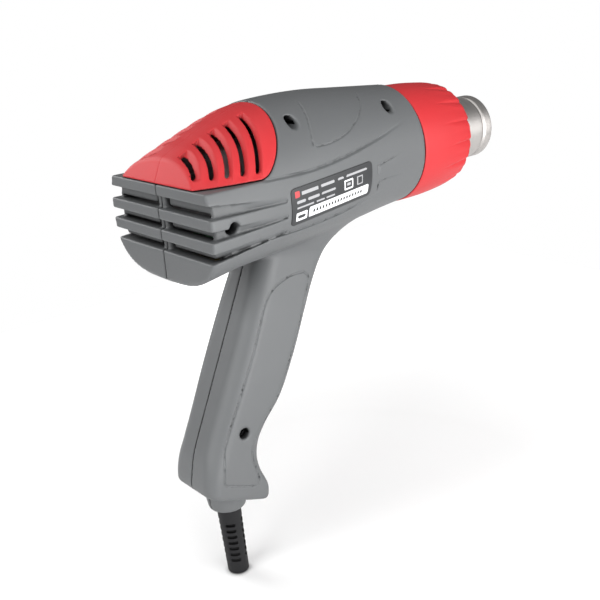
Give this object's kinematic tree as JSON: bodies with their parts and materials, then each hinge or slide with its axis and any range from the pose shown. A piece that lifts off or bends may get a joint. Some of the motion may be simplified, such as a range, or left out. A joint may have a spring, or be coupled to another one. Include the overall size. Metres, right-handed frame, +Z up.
{
  "type": "heat gun",
  "caption": "Pistol-grip heat gun with a slabbed grey body, a slotted red intake cover, a fluted red nose collar, a steel nozzle and a rocker switch.",
  "frame": {"origin": "under the middle of the length, on the seam plane, level with the lower end of the cord boot", "axes": "+X along the barrel towards the nozzle, +Y to the tool's left, +Z up, with the barrel level"},
  "size_m": [0.2066, 0.0826, 0.2355],
  "materials": {
    "housing_plastic": "fine moulded grain",
    "red_plastic": "fine moulded grain",
    "black_plastic": "satin",
    "label_film": "satin film with a thin light border",
    "boot_rubber": "matt",
    "nozzle_steel": "brushed around the axis",
    "steel": "plain",
    "dark_steel": "blackened",
    "laminated_iron": "stacked laminations",
    "ferrite": "matt ceramic magnet",
    "copper": "turned",
    "bronze": "sintered, oiled",
    "heating_wire": "oxidised",
    "mica": "layered, flaky sheen",
    "ceramic": "fired, unglazed",
    "carbon": "matt",
    "board": "solder mask",
    "capacitor_case": "moulded",
    "wire_brown": "smooth insulation",
    "wire_blue": "smooth insulation",
    "wire_red": "heat-proof sleeve",
    "wire_grey": "smooth insulation"
  },
  "bodies": {
    "housing": {"housing_right": "housing_plastic", "housing_left": "housing_plastic", "intake_cover": "red_plastic", "nose_collar": "red_plastic", "rating_label": "label_film", "housing_screw_1": "dark_steel", "housing_screw_2": "dark_steel", "housing_screw_3": "dark_steel", "housing_screw_4": "dark_steel", "nozzle_tube": "nozzle_steel", "heater_flange": "ceramic", "mica_sleeve": "mica", "heater_core": "mica", "heater_winding": "heating_wire", "heater_end_disc": "mica", "heater_rear_disc": "mica", "thermal_cutout": "steel", "fan_duct": "black_plastic", "motor_can": "steel", "motor_end_cap": "black_plastic", "magnet_upper": "ferrite", "magnet_lower": "ferrite", "front_bearing": "bronze", "rear_bearing": "bronze", "brush_left": "carbon", "brush_right": "carbon", "rectifier_board": "board", "suppression_capacitor": "capacitor_case", "switch_body": "black_plastic", "cord_clamp": "black_plastic", "clamp_screw_rear": "steel", "clamp_screw_front": "steel", "cord_boot": "boot_rubber", "lead_supply_live": "wire_brown", "lead_supply_neutral": "wire_blue", "lead_heater": "wire_red", "lead_motor": "wire_grey"},
    "rotor": {"motor_shaft": "steel", "armature": "laminated_iron", "commutator": "copper", "impeller": "black_plastic"},
    "rocker": {"switch_rocker": "black_plastic"}
  },
  "joints": [
    {"name": "rotor_spin", "type": "hinge", "parent": "housing", "child": "rotor", "pos_m": [-0.0529, 0, 0.2005], "axis": [1, 0, 0], "continuous": true},
    {"name": "switch_rock", "type": "hinge", "parent": "housing", "child": "rocker", "pos_m": [-0.04732, 0, 0.12064], "axis": [0, 1, 0], "range_deg": [-10, 10]}
  ]
}
